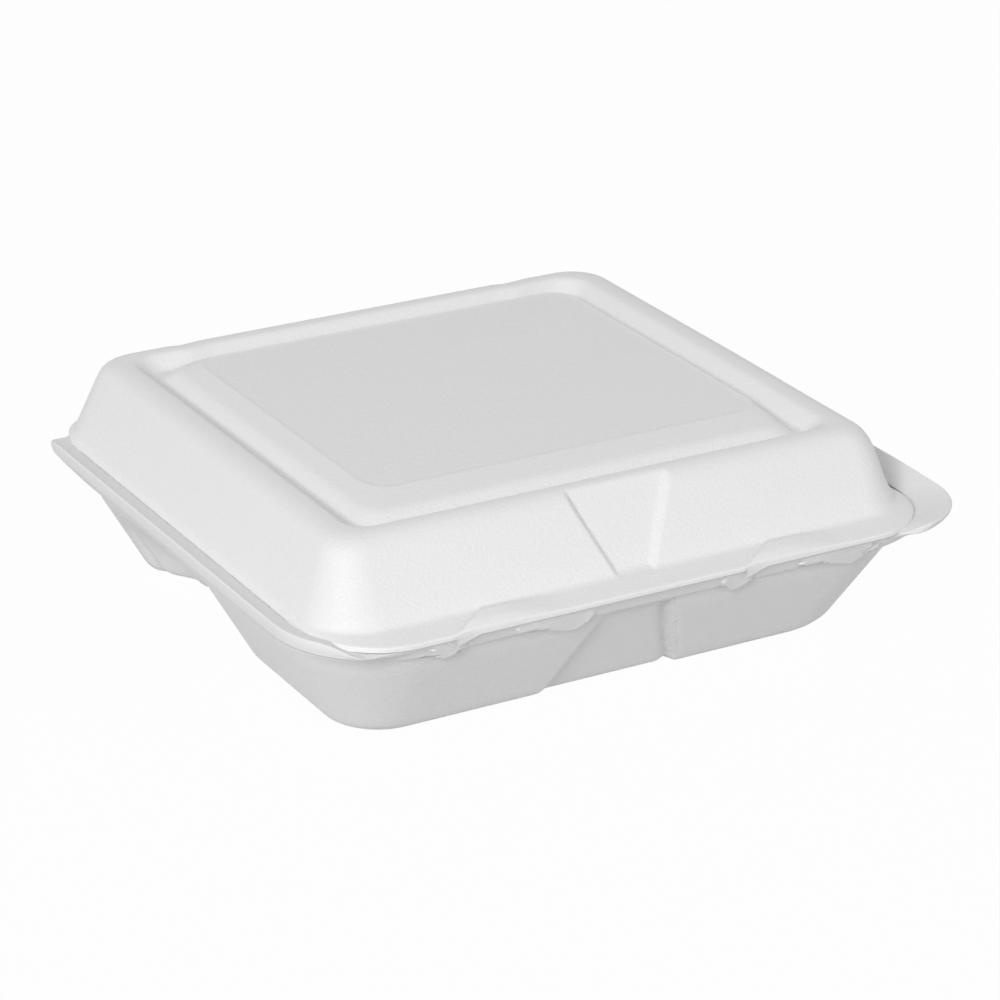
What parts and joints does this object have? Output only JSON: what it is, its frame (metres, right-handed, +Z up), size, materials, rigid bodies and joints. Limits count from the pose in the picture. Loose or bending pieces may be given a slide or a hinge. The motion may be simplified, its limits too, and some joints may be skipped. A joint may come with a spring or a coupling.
{
  "type": "hinged foam food container",
  "caption": "White foam takeaway container: a compartmented tray with a turned-out rim, and a hinged lid with a grooved top, a front recess and latch tabs.",
  "frame": {"origin": "on the table, under the centre of the closed container's bounding box", "axes": "+Z up, +Y towards the hinge, the latches are on the -Y side, X along the hinge"},
  "size_m": [0.203, 0.192, 0.0575],
  "materials": {
    "foam": "white expanded foam sheet with a smooth skin and a soft satin sheen"
  },
  "bodies": {
    "tray": {"tray": "foam"},
    "lid": {"lid": "foam"}
  },
  "joints": [
    {"name": "lid_hinge", "type": "hinge", "parent": "tray", "child": "lid", "pos_m": [0, 0.09615, 0.0356], "axis": [-1, 0, 0], "range_deg": [0, 180]}
  ]
}
